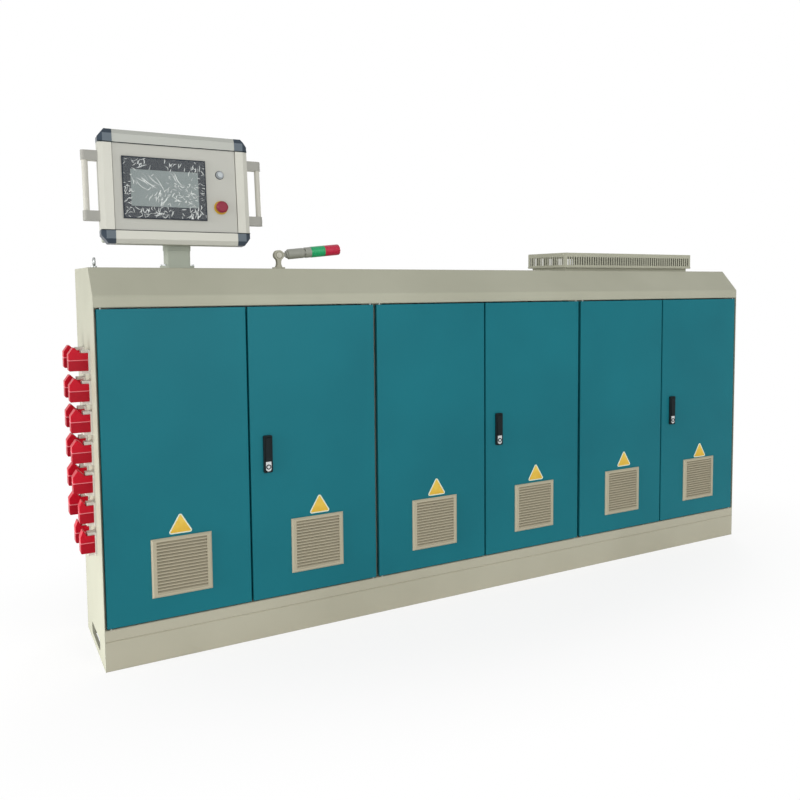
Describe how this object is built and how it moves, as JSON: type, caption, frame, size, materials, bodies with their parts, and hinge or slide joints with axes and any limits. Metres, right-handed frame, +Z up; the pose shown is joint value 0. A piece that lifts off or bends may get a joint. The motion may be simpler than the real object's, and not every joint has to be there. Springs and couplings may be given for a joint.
{
  "type": "extrusion line control cabinet",
  "caption": "Long floor-standing control cabinet of an extrusion line, with paired doors, filter grilles, a swivelling operator panel, a folding signal lamp and a roof vent cowl.",
  "frame": {"origin": "middle of the footprint on the floor", "axes": "+X to the right along the doors, +Y from the doors to the back, +Z up"},
  "size_m": [3.071, 0.4647, 1.8343],
  "materials": {
    "cabinet_paint": "powder coat, fine texture",
    "door_paint": "satin powder coat",
    "zinc_steel": "zinc plated",
    "grille_plastic": "moulded, matt",
    "handle_black": "moulded, satin",
    "hood_red": "moulded, gloss",
    "die_cast": "die cast, painted",
    "frame_aluminium": "anodised",
    "panel_plate": "anodised, fine satin",
    "corner_plastic": "moulded, satin",
    "screen_black": "gloss front film",
    "stop_yellow": "moulded, gloss",
    "stop_red": "moulded, gloss",
    "lamp_grey": "moulded, satin",
    "lens_green": "clear moulded, ribbed",
    "lens_red": "clear moulded, ribbed"
  },
  "bodies": {
    "root": {"plinth_front": "cabinet_paint", "plinth_rear": "cabinet_paint", "plinth_ends": "cabinet_paint", "bottom_rail": "cabinet_paint", "floor_plates": "zinc_steel", "side_panels": "cabinet_paint", "rear_panels": "cabinet_paint", "posts": "cabinet_paint", "canopy": "cabinet_paint", "mounting_plates": "zinc_steel", "hinge_pins": "zinc_steel", "vent_curb": "cabinet_paint", "vent_cowl": "cabinet_paint", "lifting_eye": "zinc_steel", "connector_bases": "die_cast", "connector_hoods": "hood_red", "column": "cabinet_paint", "lamp_foot": "lamp_grey"},
    "door_1": {"door_leaf_1": "door_paint", "door_grille_1": "grille_plastic"},
    "door_2": {"door_leaf_2": "door_paint", "door_grille_2": "grille_plastic", "handle_dish_2": "handle_black", "handle_lock_2": "zinc_steel"},
    "door_3": {"door_leaf_3": "door_paint", "door_grille_3": "grille_plastic"},
    "door_4": {"door_leaf_4": "door_paint", "door_grille_4": "grille_plastic", "handle_dish_4": "handle_black", "handle_lock_4": "zinc_steel"},
    "door_5": {"door_leaf_5": "door_paint", "door_grille_5": "grille_plastic"},
    "door_6": {"door_leaf_6": "door_paint", "door_grille_6": "grille_plastic", "handle_dish_6": "handle_black", "handle_lock_6": "zinc_steel"},
    "handle_2": {"handle_lever_2": "handle_black"},
    "handle_4": {"handle_lever_4": "handle_black"},
    "handle_6": {"handle_lever_6": "handle_black"},
    "hmi": {"hmi_collar": "cabinet_paint", "hmi_housing": "cabinet_paint", "hmi_rails": "frame_aluminium", "hmi_corners": "corner_plastic", "hmi_front_panel": "panel_plate", "hmi_screen": "screen_black", "hmi_handles": "frame_aluminium", "hmi_start_ring": "die_cast", "hmi_stop_collar": "stop_yellow"},
    "estop": {"estop_head": "stop_red"},
    "start": {"start_button": "die_cast"},
    "lamp": {"lamp_arm": "lamp_grey", "lamp_body": "lamp_grey", "lamp_lens_green": "lens_green", "lamp_lens_red": "lens_red"}
  },
  "joints": [
    {"name": "door_1_hinge", "type": "hinge", "parent": "root", "child": "door_1", "pos_m": [-1.447, -0.2195, 0.68], "axis": [0, 0, -1], "range_deg": [0, 110]},
    {"name": "door_2_hinge", "type": "hinge", "parent": "root", "child": "door_2", "pos_m": [-0.486, -0.2195, 0.68], "axis": [0, 0, -1], "range_deg": [-110, 0]},
    {"name": "door_3_hinge", "type": "hinge", "parent": "root", "child": "door_3", "pos_m": [-0.447, -0.2195, 0.68], "axis": [0, 0, -1], "range_deg": [0, 110]},
    {"name": "door_4_hinge", "type": "hinge", "parent": "root", "child": "door_4", "pos_m": [0.514, -0.2195, 0.68], "axis": [0, 0, -1], "range_deg": [-110, 0]},
    {"name": "door_5_hinge", "type": "hinge", "parent": "root", "child": "door_5", "pos_m": [0.553, -0.2195, 0.68], "axis": [0, 0, -1], "range_deg": [0, 110]},
    {"name": "door_6_hinge", "type": "hinge", "parent": "root", "child": "door_6", "pos_m": [1.514, -0.2195, 0.68], "axis": [0, 0, -1], "range_deg": [-110, 0]},
    {"name": "handle_2_lift", "type": "hinge", "parent": "door_2", "child": "handle_2", "pos_m": [-0.9015, -0.2312, 0.737], "axis": [-1, 0, 0], "range_deg": [0, 60]},
    {"name": "handle_4_lift", "type": "hinge", "parent": "door_4", "child": "handle_4", "pos_m": [0.0985, -0.2312, 0.737], "axis": [-1, 0, 0], "range_deg": [0, 60]},
    {"name": "handle_6_lift", "type": "hinge", "parent": "door_6", "child": "handle_6", "pos_m": [1.0985, -0.2312, 0.737], "axis": [-1, 0, 0], "range_deg": [0, 60]},
    {"name": "hmi_swivel", "type": "hinge", "parent": "root", "child": "hmi", "pos_m": [-1.1405, 0.05, 1.418], "axis": [0, 0, 1], "range_deg": [-150, 150]},
    {"name": "estop_press", "type": "slide", "parent": "hmi", "child": "estop", "axis": [0, 0.9969, -0.0785], "range_m": [0, 0.005]},
    {"name": "start_press", "type": "slide", "parent": "hmi", "child": "start", "axis": [0, 0.9969, -0.0785], "range_m": [0, 0.003], "stiffness_N_per_m": 400},
    {"name": "lamp_fold", "type": "hinge", "parent": "root", "child": "lamp", "pos_m": [-0.7535, 0.05, 1.408], "axis": [0, -1, 0], "range_deg": [-6, 84]}
  ]
}
